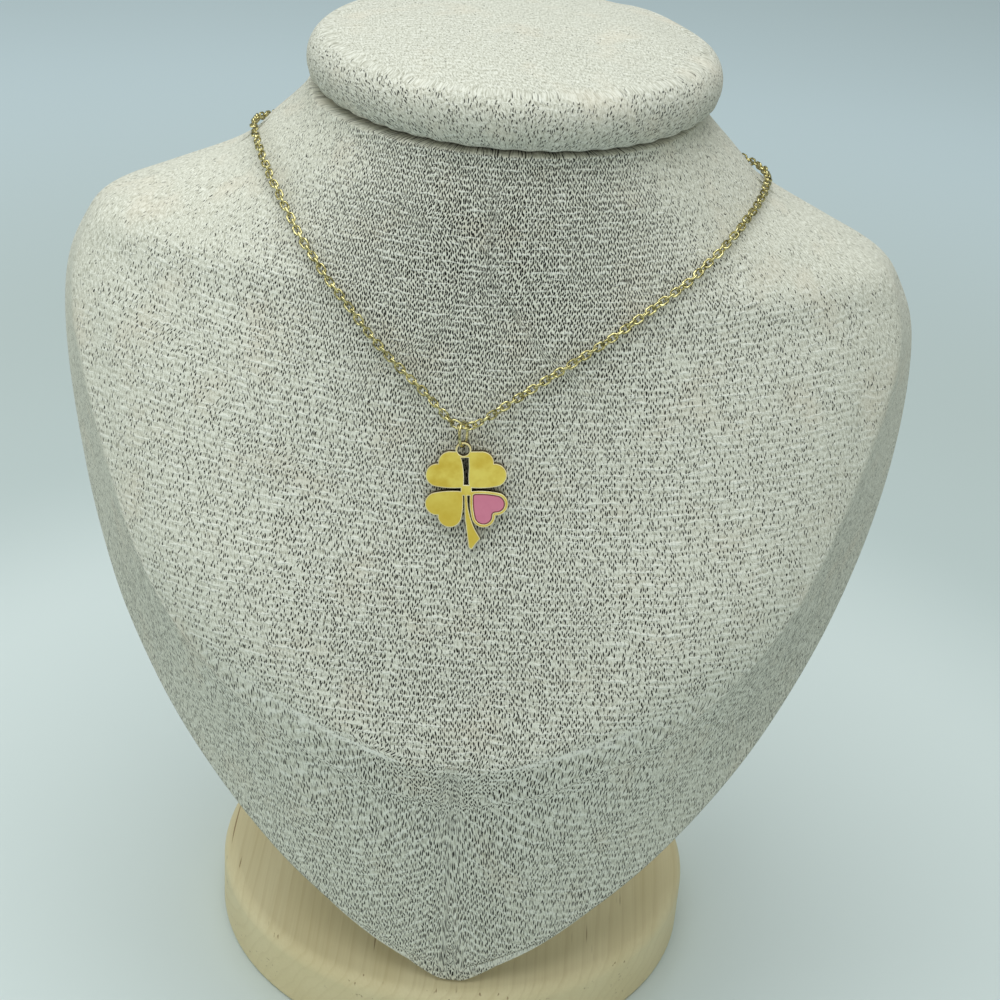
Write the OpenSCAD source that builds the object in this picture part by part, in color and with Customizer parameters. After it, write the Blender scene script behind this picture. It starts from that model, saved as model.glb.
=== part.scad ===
/* [Wooden base] */
// Diameter of the round base
base_d = 142; // [120:1:180]
// Height of the base
base_h = 20; // [14:1:30]
// Radius of the rounded upper rim
base_round = 4; // [3:0.5:9]
// Diameter of the hidden post
post_d = 16; // [10:1:24]
// Depth of the post's socket in the base
socket_depth = 9; // [5:1:11]

/* [Neck bust] */
// Width across the shoulders
shoulder_w = 236; // [200:1:260]
// Height of the form, from its lower tip to the top of the neck
bust_h = 241; // [220:1:270]
// Diameter at the top of the neck
neck_d = 99; // [90:1:110]
// Thickness of the chest at the lower crease
chest_depth = 69; // [58:1:80]
// Angle by which the flat back leans from the vertical
back_lean = 24; // [18:1:28]
// Distance from the base's axis forward to the lower tip
tip_reach = 64; // [50:1:66]
// Height of the lower tip above the base
tip_gap = 1; // [0.5:0.1:3]
// Diameter of the padded cap
cap_d = 105.5; // [96:0.5:116]
// Thickness of the padded cap at its rim
cap_rim = 14; // [8:0.5:16]
// Height of the cap's dome above its rim
cap_dome = 3; // [1:0.5:6]

/* [Clover] */
// Thickness of the clover plate
plate_t = 1.5; // [1.2:0.1:1.8]
// Radius of the two round lobes of a leaf
lobe_r = 2.9; // [2.7:0.05:3]
// Distance from a leaf's tip to a lobe's centre, along the leaf's side
lobe_along = 6.85; // [6.6:0.05:7]
// Distance from a leaf's side to a lobe's centre
lobe_across = 3.8; // [3.6:0.05:4]
// Radius of the shallow curve of a leaf's sides
side_r = 21; // [18:0.5:26]
// Half width of the upright slot between the upper leaves
slot_x = 0.5; // [0.4:0.05:0.6]
// Half width of the level slots between the leaves
slot_y = 0.3; // [0.2:0.05:0.4]
// Distance from the clover's middle to the inner side of a lower leaf
stem_x = 0.75; // [0.7:0.05:0.9]
// Length of the stem below the clover's middle
stem_len = 15.2; // [14:0.1:16]
// Side of the small centre square
centre_w = 2.7; // [2.4:0.1:3]
// Width of the metal rim round the enamel
rim_w = 0.8; // [0.6:0.05:1]
// Depth of the enamel
enamel_t = 0.6; // [0.3:0.05:0.8]
// Outer diameter of the bail ring
bail_d = 3.9; // [3.7:0.1:4.2]
// Diameter of the bail hole
bail_hole = 2.9; // [2.8:0.05:3]
// Height of the bail hole above the clover's middle
bail_rise = 9.85; // [9.7:0.05:9.95]
// Turn of the hanging pendant against the stand's axis
pendant_turn = 4.5; // [0:0.5:6]

/* [Necklace] */
// Outer diameter of the jump ring
jump_d = 6.6; // [6.4:0.1:6.8]
// Wire diameter of the jump ring
jump_wire = 0.7; // [0.6:0.05:0.85]
// Turn of the jump ring about the upright
jump_turn = 16; // [10:1:24]
// Outer length of a chain link
link_l = 3.1; // [3.05:0.05:3.2]
// Outer width of a chain link
link_w = 2.2; // [2.15:0.05:2.3]
// Wire diameter of a chain link
link_wire = 0.5; // [0.45:0.01:0.52]
// Twist between the links that show their opening
link_twist = 40; // [20:5:45]
// Length of the clasp with its two eyes
clasp_l = 9; // [8:0.5:12]
// Diameter of the clasp's barrel
clasp_d = 1.8; // [1.6:0.1:2]

/* [Hidden] */
// Gap between pieces that rest on each other, and the finer one between pieces of the jewel
seat_gap = 0.2;
fine_gap = 0.05;
smooth = 96;
corner_weight = cos(45);
// Small rounding under the base, and where the post stands
foot_round = 1.5;
post_y = -12;
// Lower tip and top of the form
tip_y = -tip_reach;
tip_z = base_h + tip_gap;
neck_z = tip_z + bust_h;
// Rows of the form from the neck down, all lengths as shares: the heights of its front and back edge
// (bust_h), how far its depth has turned from neck_d (0) to chest_depth (1), the neck's part and the
// shoulders' parts of its half widths at the front crease and at the outer edge (neck_d, shoulder_w),
// how far the crease lies behind the middle and the outer edge before the flat back (chest_depth),
// and how much of each corner is rounded
row_table = [
    // front_z, back_z, depth, neck_x, crease_x, edge_x, sag, lift, crease_round, edge_round
    [1.000, 1.000, 0.00, 1.00, 0.000, 0.000, 0.00, 0.000, 1.00, 1.00],
    [0.9861, 0.9861, 0.05, 0.96, 0.030, 0.040, 0.00, 0.000, 1.00, 1.00],
    [0.9528, 0.9528, 0.10, 0.80, 0.150, 0.190, 0.01, 0.000, 1.00, 1.00],
    [0.9155, 0.9155, 0.18, 0.55, 0.340, 0.380, 0.05, 0.000, 1.00, 0.95],
    [0.8792, 0.8792, 0.26, 0.25, 0.620, 0.650, 0.14, 0.000, 0.98, 0.90],
    [0.8520, 0.8470, 0.32, 0.10, 0.780, 0.830, 0.21, 0.000, 0.92, 0.80],
    [0.8187, 0.8087, 0.38, 0.00, 0.850, 0.935, 0.26, 0.000, 0.85, 0.65],
    [0.7744, 0.7542, 0.46, 0.00, 0.850, 0.985, 0.28, 0.000, 0.70, 0.50],
    [0.7159, 0.6806, 0.54, 0.00, 0.815, 0.995, 0.26, 0.000, 0.55, 0.38],
    [0.6453, 0.5848, 0.64, 0.00, 0.760, 0.970, 0.20, 0.000, 0.45, 0.30],
    [0.5697, 0.4789, 0.72, 0.00, 0.690, 0.910, 0.14, 0.000, 0.38, 0.25],
    [0.5092, 0.3680, 0.81, 0.00, 0.600, 0.815, 0.09, 0.000, 0.35, 0.20],
    [0.4588, 0.2521, 0.90, 0.00, 0.480, 0.670, 0.05, 0.012, 0.34, 0.18],
    [0.4184, 0.1412, 0.96, 0.00, 0.340, 0.470, 0.03, 0.032, 0.34, 0.18],
    [0.3912, 0.0555, 1.01, 0.00, 0.185, 0.255, 0.01, 0.036, 0.34, 0.18],
    [0.3791, 0.0141, 1.05, 0.00, 0.070, 0.095, 0.00, 0.020, 0.34, 0.18],
    [0.3761, 0.0000, 1.07, 0.00, 0.012, 0.018, 0.00, 0.000, 0.34, 0.18]];
row_steps = 3;
last_row = len(row_table) - 1;
// Points along one half of a row: front, crease, side, edge, back
front_n = 5;
crease_n = 8;
side_n = 3;
edge_n = 6;
back_n = 4;

// Smooth value of a list between its members
function spline(a, b, c, d, t) = b + 0.5 * t * (c - a + t * (2 * a - 5 * b + 4 * c - d
    + t * (3 * (b - c) + d - a)));
function between(list, v) = let(i = min(floor(v), len(list) - 2)) spline(list[max(i - 1, 0)], list[i],
    list[i + 1], list[min(i + 2, len(list) - 1)], v - i);
// Place of the flat back at a height
function back_y(z) = tip_y + (z - tip_z) * tan(back_lean);
// Points from a to b, and round a corner
function straight(a, b, n) = [for (i = [0:n - 1]) a + (b - a) * i / n];
function rounded(a, corner, b, n) = [for (i = [0:n - 1])
    let(t = i / n, w = corner_weight * 2 * t * (1 - t))
    (a * (1 - t) ^ 2 + corner * w + b * t ^ 2) / ((1 - t) ^ 2 + w + t ^ 2)];
// One half of a row, from the middle of the front to the middle of the back
function half_row(v) = let(
    r = between(row_table, v), front_z = tip_z + r[0] * bust_h, rear_z = tip_z + r[1] * bust_h,
    front_y = back_y(front_z) - neck_d * (1 - r[2]) - chest_depth * r[2], rear_y = back_y(rear_z),
    front_turn = min(r[8], 0.98), edge_turn = min(r[9], 0.98),
    crease_x = r[3] * neck_d / 2 + r[4] * shoulder_w / 2,
    edge_x = r[3] * neck_d / 2 + r[5] * shoulder_w / 2,
    front = [0, front_y, front_z], crease = [crease_x, front_y, front_z],
    edge = [edge_x, rear_y - r[7] * chest_depth, rear_z], rear = [0, rear_y, rear_z],
    a = crease + (front - crease) * front_turn, b = crease + (edge - crease) * front_turn / 2,
    c = edge + (crease - edge) * edge_turn / 2, d = edge + (rear - edge) * edge_turn,
    points = concat(straight(front, a, front_n), rounded(a, crease, b, crease_n), straight(b, c, side_n),
        rounded(c, edge, d, edge_n), straight(d, rear, back_n), [rear]))
    [for (p = points)
        let(u = min(p.x / max(crease_x, 0.001), 1), share = (rear_y - p.y) / (rear_y - front_y))
        p + [0, r[6] * chest_depth * u * u * share, 0]];
function mirrored(points) = [for (i = [len(points) - 2:-1:1]) [-points[i].x, points[i].y, points[i].z]];
function whole_row(v) = let(h = half_row(v)) concat(h, mirrored(h));

// Length along a list of points up to each of them, and the point at a length
function lengths(p) = [for (i = 0, s = 0; i < len(p);
    s = s + norm(p[min(i + 1, len(p) - 1)] - p[i]), i = i + 1) s];
function point_at(p, l, s) = [for (axis = [0:2])
    lookup(s, [for (i = [0:len(p) - 1]) [l[i], p[i][axis]]])];
// Point of the form's surface at row v, the share q round its half from the middle of the front (0) to
// the middle of the back (1), to the left below 0
function form_at(v, q) = let(
    h = half_row(v), l = lengths(h), p = point_at(h, l, min(abs(q), 2 - abs(q)) * l[len(l) - 1]))
    [(abs(q) > 1 ? -1 : 1) * (q < 0 ? -p.x : p.x), p.y, p.z];
function unit(a) = a / norm(a);
function form_normal(v, q) = unit(cross(form_at(v + 0.25, q) - form_at(v - 0.25, q),
    form_at(v, q + 0.02) - form_at(v, q - 0.02)));

// Route of the chain over the form, as rows v and shares q round them, from the middle of the back by
// the left shoulder to the jump ring and by the right shoulder to the middle of the back again
chain_route = [[2.9, -1], [2.9, -0.9], [2.9, -0.78], [2.78, -0.65], [2.3, -0.5], [2.28, -0.42],
    [2.6, -0.345], [3.3, -0.26], [4.1, -0.195], [5.2, -0.142], [6.3, -0.097], [7.2, -0.0465],
    [7.66, -0.0125], [7.23, 0.026], [6.5, 0.0735], [5.75, 0.118], [4.75, 0.172], [3.8, 0.245],
    [3.2, 0.325], [2.85, 0.4], [2.73, 0.48], [2.87, 0.56], [2.95, 0.7], [2.92, 0.82], [2.9, 0.92],
    [2.9, 1]];
ring_at = 12;
route_steps = 6;
// Distance of the chain's middle line from the form, and what the jump ring adds to it close by
chain_lift = link_w / 2 + 0.4;
jump_bend = (jump_d - jump_wire) / 2;
jump_out = jump_bend * cos(jump_turn) + jump_wire / 2 + seat_gap;
ring_reach = 2.2;
function lift(t) = let(u = max(0, 1 - abs(t - ring_at) / ring_reach))
    chain_lift + (jump_out - chain_lift) * u * u * (3 - 2 * u);
route_at = [for (i = [0:(len(chain_route) - 1) * route_steps]) i / route_steps];
route_normals = [for (t = route_at) let(r = between(chain_route, t)) form_normal(r[0], r[1])];
route = [for (i = [0:len(route_at) - 1]) let(r = between(chain_route, route_at[i]))
    form_at(r[0], r[1]) + route_normals[i] * lift(route_at[i])];
run = lengths(route);
route_end = len(route) - 1;
function on_route(s) = point_at(route, run, s);
function out_of_route(s) = point_at(route_normals, run, s);
run_ring = run[ring_at * route_steps];
run_end = run[route_end];
// The end links pass through the clasp's eyes, and every other link stands on edge
eye_d = 2.9;
eye_wire = 0.7;
end_gap = clasp_l / 2 - eye_wire - 0.3 + link_l / 2 - link_wire;
best_pitch = link_l - 2 * link_wire - 0.22;
left_links = 2 * round((run_ring - end_gap) / best_pitch / 2);
right_links = 2 * round((run_end - run_ring - end_gap) / best_pitch / 2);

// Frame of the hanging pendant: right, up along the chest, outwards
hang_route = chain_route[ring_at];
hang_normal = form_normal(hang_route[0], hang_route[1]);
chest_lean = atan2(hang_normal.z, -hang_normal.y);
// The chain rests in the ring's upper inside, the bail hangs on its lower inside
ring_drop = sqrt((jump_d / 2 - jump_wire) ^ 2 - (link_w / 2) ^ 2) - link_wire / 2 - 0.4;
bail_out = jump_out - 0.3;
bail_drop = ring_drop + jump_bend + bail_hole / 2 - jump_wire / 2 - 0.35;
bail_side = 0.6;
hang_tilt = asin((bail_out - plate_t / 2 - 0.35) / (bail_rise + stem_len));
module hang() {
    translate(form_at(hang_route[0], hang_route[1])) rotate([90 - chest_lean, 0, 0])
        rotate([0, 0, pendant_turn]) children();
}
module hang_plate() {
    hang() translate([0, -bail_drop, bail_out]) rotate([hang_tilt, 0, 0])
        translate([bail_side, -bail_rise, 0]) children();
}

module bust_form() {
    rows = [for (i = [0:last_row * row_steps]) whole_row(i / row_steps)];
    n = len(rows[0]);
    m = len(rows);
    back = front_n + crease_n + side_n + edge_n + back_n;
    points = concat([for (row = rows) each row], [for (i = [0, m - 1]) (rows[i][0] + rows[i][back]) / 2]);
    faces = concat(
        [for (j = [0:n - 1]) [m * n, (j + 1) % n, j]],
        [for (j = [0:n - 1]) [m * n + 1, (m - 1) * n + j, (m - 1) * n + (j + 1) % n]],
        [for (i = [0:m - 2], j = [0:n - 1]) let(k = (j + 1) % n) each
            [[i * n + j, i * n + k, (i + 1) * n + k], [i * n + j, (i + 1) * n + k, (i + 1) * n + j]]]);
    color("gainsboro") polyhedron(points, faces, convexity = 6);
}

module wooden_base() {
    upper = base_d / 2 - base_round;
    lower = base_d / 2 - foot_round;
    color("burlywood") difference() {
        rotate_extrude($fn = smooth) union() {
            square([upper, base_h]);
            square([lower, foot_round + 1]);
            translate([0, foot_round]) square([base_d / 2, base_h - base_round - foot_round]);
            translate([upper, base_h - base_round]) circle(r = base_round, $fn = smooth);
            translate([lower, foot_round]) circle(r = foot_round, $fn = smooth);
        }
        translate([0, post_y, base_h - socket_depth])
            cylinder(d = post_d + 2 * seat_gap, h = base_h, $fn = smooth);
    }
}

// The post ends under the flat back, parallel to it
module support_post() {
    color("tan") intersection() {
        translate([0, post_y, base_h - socket_depth + seat_gap])
            cylinder(d = post_d, h = bust_h, $fn = smooth);
        translate([0, tip_y, tip_z]) rotate([-back_lean, 0, 0])
            translate([-base_d / 2, seat_gap, -base_h * 2]) cube([base_d, bust_h, bust_h * 2]);
    }
}

module neck_cap() {
    flat = (cap_d - cap_rim) / 2;
    dome_r = (flat ^ 2 + cap_dome ^ 2) / 2 / cap_dome;
    color("gainsboro") translate([0, back_y(neck_z) - neck_d / 2, neck_z + seat_gap])
        rotate_extrude($fn = smooth) union() {
            square([flat, cap_rim]);
            translate([flat, cap_rim / 2]) circle(d = cap_rim, $fn = smooth);
            intersection() {
                translate([0, cap_rim + cap_dome - dome_r]) circle(r = dome_r, $fn = smooth * 4);
                translate([0, cap_rim - 1]) square([flat, cap_dome + 2]);
            }
        }
}

// Outline of a leaf with its tip near the middle and its lobes outwards, or the same drawn in by inset and
// with a rounded tip: the side's shallow curve, a lobe, the notch between the lobes, and the same mirrored
inner_tip = 0.6;
side_turn = -78;
side_mid = [lobe_along, lobe_across] - (side_r - lobe_r) * [cos(side_turn), sin(side_turn)];
side_low = side_mid.y - side_r;
half_lobes = (lobe_along - lobe_across) / sqrt(2);
notch = (lobe_along + lobe_across) / 2 + sqrt(lobe_r ^ 2 - half_lobes ^ 2) / sqrt(2);
notch_turn = atan2(notch - lobe_across, notch - lobe_along);
function arc(mid, r, from, to, n) = [for (i = [0:n])
    let(a = from + (to - from) * i / n) mid + r * [cos(a), sin(a)]];
function half_leaf(inset) = let(r = side_r - inset, tip_r = inset > 0 ? inner_tip : 0,
    k = side_mid.x + side_mid.y,
    tip = (k - sqrt(2 * ((r - tip_r) ^ 2 - side_mid.x ^ 2 - side_mid.y ^ 2) + k ^ 2)) / 2,
    tip_turn = atan2(tip - side_mid.y, tip - side_mid.x),
    lobe = arc([lobe_along, lobe_across], lobe_r - inset, side_turn, notch_turn, 24))
    concat(tip_r > 0 ? [for (i = [0:3]) arc([tip, tip], tip_r, -135, tip_turn, 4)[i]] : [],
        arc(side_mid, r, tip_turn, side_turn, 6), [for (i = [1:24]) lobe[i]],
        inset > 0 ? [for (i = [1:2]) arc([notch, notch], inset, notch_turn + 180, 225, 2)[i]] : []);
function leaf(inset = 0) = let(h = half_leaf(inset), n = len(h) - 1)
    concat(h, [for (i = [n - 1:-1:1]) [h[i].y, h[i].x]]);
function placed(points, corner, x, y) = [for (p = points) [x * (p.x + corner.x), y * (p.y + corner.y)]];
// Where the frames of the upper and the lower leaves stand, so that their sides touch the slots
upper_leaf = [slot_x - side_low, slot_y - side_low];
lower_leaf = [stem_x - side_low, slot_y - side_low];
upper_lobe = upper_leaf + [lobe_across, lobe_along];

// Stem from the middle down, as shares of its length: its left side, the cut end and its right side
stem_shape = [[-0.034, 0.05], [-0.034, 0.25], [-0.032, 0.39], [-0.024, 0.52], [-0.007, 0.67], [0.007, 0.8],
    [0.028, 0.97], [0.08, 1], [0.143, 0.905], [0.218, 0.815], [0.136, 0.67], [0.095, 0.57], [0.061, 0.455],
    [0.03, 0.32], [0.018, 0.2], [0.016, 0.05]];

function rounded_square(w, r) = [for (i = [0:3])
    each arc((w / 2 - r) * [sign(cos(45 + 90 * i)), sign(sin(45 + 90 * i))], r, 90 * i, 90 * i + 90, 5)];

module clover_plate() {
    web_low = bail_rise - bail_d / 2 - 0.02;
    web_side = upper_lobe.x - sqrt(lobe_r ^ 2 - (web_low - upper_lobe.y) ^ 2);
    web_top = upper_lobe.y + lobe_r - 0.03;
    color("gold") hang_plate() difference() {
        translate([0, 0, -plate_t / 2]) union() {
            for (side = [-1, 1]) {
                linear_extrude(plate_t) polygon(placed(leaf(), upper_leaf, side, 1));
                linear_extrude(plate_t) polygon(placed(leaf(), lower_leaf, side, -1));
            }
            linear_extrude(plate_t) polygon([[-upper_lobe.x, upper_lobe.y], [-web_side, web_low],
                [slot_x + 0.1, web_low], [slot_x + 0.15, upper_lobe.y - 1.5], [upper_lobe.x, upper_lobe.y],
                [upper_lobe.x, web_top], [-upper_lobe.x, web_top]]);
            translate([-bail_side, bail_rise, 0]) cylinder(d = bail_d, h = plate_t, $fn = smooth);
            linear_extrude(plate_t) translate([0, -0.2]) polygon(rounded_square(centre_w, 0.5));
            linear_extrude(plate_t) polygon([for (p = stem_shape) stem_len * [p.x, -p.y]]);
        }
        translate([-bail_side, bail_rise, -plate_t]) cylinder(d = bail_hole, h = 2 * plate_t, $fn = smooth);
        translate([0, 0, plate_t / 2 - enamel_t]) linear_extrude(plate_t)
            polygon(placed(leaf(rim_w), lower_leaf, 1, -1));
    }
}

module enamel_heart() {
    color("hotpink") hang_plate() translate([0, 0, plate_t / 2 - enamel_t + fine_gap])
        linear_extrude(enamel_t - fine_gap) polygon(placed(leaf(rim_w + fine_gap), lower_leaf, 1, -1));
}

module jump_ring() {
    color("gold") hang() translate([0, -ring_drop, jump_out]) rotate([0, -jump_turn, 0]) rotate([0, 90, 0])
        rotate_extrude($fn = smooth) translate([jump_bend, 0]) circle(d = jump_wire, $fn = 32);
}

// Wire link, long along X, flat in XY
module link() {
    half = (link_l - link_w) / 2;
    bend = (link_w - link_wire) / 2;
    for (side = [-1, 1]) {
        translate([side * half, 0, 0]) rotate([0, 0, -90 * side]) rotate_extrude(angle = 180, $fn = 24)
            translate([bend, 0]) circle(d = link_wire, $fn = 24);
        translate([-half, side * bend, 0]) rotate([0, 90, 0])
            cylinder(d = link_wire, h = 2 * half, $fn = 24);
    }
}

// Frame between lengths s and s + pitch of the route, turned by roll: on edge at 0, flat at 90
module on_chain(s, pitch, roll) {
    start = on_route(s);
    end = on_route(s + pitch);
    at = (start + end) / 2;
    along = unit(end - start);
    raw = out_of_route(s + pitch / 2);
    out = unit(raw - along * (raw * along));
    y = out * cos(roll) + cross(along, out) * sin(roll);
    z = cross(along, y);
    multmatrix([[along.x, y.x, z.x, at.x], [along.y, y.y, z.y, at.y], [along.z, y.z, z.z, at.z]])
        children();
}
function roll(k) = 90 * k + link_twist / 2 * (1 - sin(90 * k));

module chain_left() {
    pitch = (run_ring - end_gap) / left_links;
    color("gold") for (k = [1:left_links]) on_chain(run_ring - (k + 0.5) * pitch, pitch, roll(k)) link();
}

module chain_right() {
    pitch = (run_end - run_ring - end_gap) / right_links;
    color("gold") for (k = [0:right_links]) on_chain(run_ring + (k - 0.5) * pitch, pitch, roll(k)) link();
}

module clasp() {
    barrel = clasp_l / 2 - eye_d + eye_wire / 2;
    middle = (on_route(end_gap) + on_route(run_end - end_gap)) / 2;
    color("gold") translate(middle) rotate([-back_lean, 0, 0]) {
        rotate([0, 90, 0]) rotate_extrude($fn = 48) polygon([[0, -barrel], [clasp_d / 2 - 0.4, -barrel],
            [clasp_d / 2, -barrel + 0.6], [clasp_d / 2, barrel - 0.6], [clasp_d / 2 - 0.4, barrel],
            [0, barrel]]);
        for (side = [-1, 1]) translate([side * (clasp_l - eye_d) / 2, 0, 0]) rotate([90, 0, 0])
            rotate_extrude($fn = 48) translate([(eye_d - eye_wire) / 2, 0]) circle(d = eye_wire, $fn = 24);
    }
}

wooden_base();
support_post();
bust_form();
neck_cap();
clover_plate();
enamel_heart();
jump_ring();
chain_left();
chain_right();
clasp();
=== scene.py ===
import math

import bpy
import numpy as np
from mathutils import Matrix, Vector, noise
from mathutils.kdtree import KDTree


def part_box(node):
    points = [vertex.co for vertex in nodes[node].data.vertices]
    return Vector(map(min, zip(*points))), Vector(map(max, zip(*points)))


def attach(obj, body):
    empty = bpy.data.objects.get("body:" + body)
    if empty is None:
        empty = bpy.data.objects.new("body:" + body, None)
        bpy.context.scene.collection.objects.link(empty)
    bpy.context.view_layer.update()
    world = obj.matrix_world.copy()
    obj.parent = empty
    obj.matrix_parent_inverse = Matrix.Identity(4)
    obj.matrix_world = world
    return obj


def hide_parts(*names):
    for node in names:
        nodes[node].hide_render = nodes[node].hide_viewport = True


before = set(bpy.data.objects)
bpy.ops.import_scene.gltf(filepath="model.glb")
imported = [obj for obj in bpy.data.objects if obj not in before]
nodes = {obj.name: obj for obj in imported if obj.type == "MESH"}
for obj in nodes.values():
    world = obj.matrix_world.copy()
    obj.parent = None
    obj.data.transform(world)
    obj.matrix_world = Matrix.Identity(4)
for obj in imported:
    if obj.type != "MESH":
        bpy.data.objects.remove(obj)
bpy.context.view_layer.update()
print("frame loaded:", len(nodes), "nodes")


# working habits: nothing is selected at first, then only what is meant
def objectMode():
    bpy.ops.object.mode_set(mode="OBJECT")


def editMode():
    bpy.ops.object.mode_set(mode="EDIT")


def deselectAll():
    active = bpy.context.view_layer.objects.active
    if active and active.mode != "OBJECT":
        objectMode()
    bpy.ops.object.select_all(action="DESELECT")


def activate(piece):
    deselectAll()
    piece.select_set(True)
    bpy.context.view_layer.objects.active = piece


def editAll(piece):
    activate(piece)
    editMode()
    bpy.ops.mesh.select_all(action="SELECT")


def deselectParts(piece, kind="FACE"):
    activate(piece)
    editMode()
    bpy.ops.mesh.select_mode(type=kind)
    bpy.ops.mesh.select_all(action="DESELECT")
    objectMode()


def editFaces(piece, wanted):
    # edit mode with only the wanted faces selected
    deselectParts(piece)
    for face in piece.data.polygons:
        face.select = wanted(face)
    editMode()


def addSmooth(piece, levels):
    modifier = piece.modifiers.new("smooth", "SUBSURF")
    modifier.levels = modifier.render_levels = levels
    return modifier


def applyAll(piece):
    activate(piece)
    for modifier in list(piece.modifiers):
        bpy.ops.object.modifier_apply(modifier=modifier.name)


def mergedCopy(nodeName, name):
    # the frame's mesh is loose triangles, so the copy is merged before any work on it
    mesh = nodes[nodeName].data.copy()
    mesh.materials.clear()
    piece = bpy.data.objects.new(name, mesh)
    bpy.context.scene.collection.objects.link(piece)
    editAll(piece)
    if mesh.has_custom_normals:
        bpy.ops.mesh.customdata_custom_splitnormals_clear()
    bpy.ops.mesh.remove_doubles(threshold=1e-6)
    objectMode()
    return piece


# points and what is known of each, as rows of numbers
def listed(items, key, width=3, kind=float):
    values = np.zeros(len(items) * width, kind)
    items.foreach_get(key, values)
    return values.reshape(-1, width)


def points(piece):
    return listed(piece.data.vertices, "co")


def placePoints(piece, co):
    piece.data.vertices.foreach_set("co", co.ravel())


def cornerPoints(piece):
    # the number of the point at each corner of each face
    return listed(piece.data.loops, "vertex_index", 1, int).ravel()


def floatAttribute(piece, name, values):
    layer = piece.data.attributes.new(name, "FLOAT", "POINT")
    layer.data.foreach_set("value", np.asarray(values, np.float32))


def softStep(values, low, high):
    # 0 at low and 1 at high, eased between, and the other way round if low is the higher
    t = np.clip((np.asarray(values, float) - low) / (high - low), 0, 1)
    return t * t * (3 - 2 * t)


def bell(values, width):
    return np.exp(-(values / width) ** 2)


def treeOf(spots):
    tree = KDTree(len(spots))
    for spot in spots:
        tree.insert(spot, 0)
    tree.balance()
    return tree


def distances(tree, co):
    return np.array([tree.find(spot)[2] for spot in co])


# shader maths
def tone(red, green, blue):
    # 0 to 255 as the eye sees them, to the values that a shader mixes
    return tuple(((c / 255 + 0.055) / 1.055) ** 2.4 if c > 10 else c / 255 / 12.92
                 for c in (red, green, blue)) + (1.0,)


class Wire:
    def __init__(self, paint, socket):
        self.paint, self.socket = paint, socket

    def maths(self, operation, *others):
        return self.paint.node("Math", {"operation": operation}, [self, *others])

    def __add__(self, other):
        return self.maths("ADD", other)

    def __sub__(self, other):
        return self.maths("SUBTRACT", other)

    def __rsub__(self, other):
        return self.paint.node("Math", {"operation": "SUBTRACT"}, [other, self])

    def __mul__(self, other):
        return self.maths("MULTIPLY", other)

    def __truediv__(self, other):
        return self.maths("DIVIDE", other)

    def __pow__(self, other):
        return self.maths("POWER", other)

    def __abs__(self):
        return self.maths("ABSOLUTE")

    __radd__ = __add__
    __rmul__ = __mul__

    def step(self, low, high):
        # as softStep does with numbers
        return self.paint.node("MapRange", {"interpolation_type": "SMOOTHSTEP"},
                               {"Value": self, "From Min": low, "From Max": high})


class Paint:
    def __init__(self, name):
        self.material = bpy.data.materials.new(name)
        self.material.use_nodes = True
        self.tree = self.material.node_tree
        self.tree.nodes.clear()
        self.output = self.tree.nodes.new("ShaderNodeOutputMaterial")

    def node(self, kind, settings=None, sockets=None, result=0):
        made = self.tree.nodes.new("ShaderNode" + kind)
        for key, value in (settings or {}).items():
            setattr(made, key, value)
        given = enumerate(sockets) if isinstance(sockets, (list, tuple)) else (sockets or {}).items()
        for key, value in given:
            socket = made.inputs[key]
            if isinstance(value, Wire):
                self.tree.links.new(value.socket, socket)
            else:
                socket.default_value = value
        return Wire(self, made.outputs[result])

    def place(self):
        return self.node("TexCoord", {}, {}, 3)

    def normal(self):
        return self.node("NewGeometry", {}, {}, 1)

    def attribute(self, name):
        return self.node("Attribute", {"attribute_name": name}, {}, 2)

    def parts(self, vector, kind="XYZ"):
        split = self.node("Separate" + kind, {}, [vector])
        return [Wire(self, split.socket.node.outputs[k]) for k in range(3)]

    def noise(self, vector, scale, detail=2.0, roughness=0.5):
        return self.node("TexNoise", {}, {"Vector": vector, "Scale": scale, "Detail": detail,
                                          "Roughness": roughness})

    def stretched(self, vector, scale):
        return self.node("VectorMath", {"operation": "MULTIPLY"}, [vector, scale])

    def moved(self, vector, offset):
        return self.node("VectorMath", {"operation": "ADD"}, [vector, offset])

    def mixed(self, share, first, second):
        return self.node("Mix", {"data_type": "RGBA"}, {0: share, 6: first, 7: second}, 2)

    def bump(self, height, strength, distance):
        return self.node("Bump", {}, {"Height": height, "Strength": strength, "Distance": distance})

    def shiny(self, sockets):
        shader = self.node("BsdfPrincipled", {}, sockets)
        self.tree.links.new(shader.socket, self.output.inputs["Surface"])
        return self.material


# camera, set before anything else: looking down at the stand, the head tilted a little
view = {"place": (0.010389, -0.495565, 0.413708), "down": 28.8, "turn": -0.5, "roll": 4.4,
        "lens": 72, "sensor": 36, "seenFrom": 0.01, "seenTo": 20}


def makeCamera():
    down, turn, roll = (math.radians(view[k]) for k in ("down", "turn", "roll"))
    turned = Matrix.Rotation(turn, 3, "Z").transposed()
    ahead = turned @ Vector((0, math.cos(down), -math.sin(down)))
    right = turned @ Vector((1, 0, 0))
    up = turned @ Vector((0, math.sin(down), math.cos(down)))
    sideways = right * math.cos(roll) + up * math.sin(roll)
    upright = up * math.cos(roll) - right * math.sin(roll)
    lens = bpy.data.cameras.new("camera")
    lens.lens, lens.sensor_width = view["lens"], view["sensor"]
    lens.clip_start, lens.clip_end = view["seenFrom"], view["seenTo"]
    camera = bpy.data.objects.new("camera", lens)
    camera.matrix_world = Matrix((sideways, upright, -ahead)).transposed().to_4x4()
    camera.location = view["place"]
    bpy.context.scene.collection.objects.link(camera)
    bpy.context.scene.camera = camera


makeCamera()
print("camera set")

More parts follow.
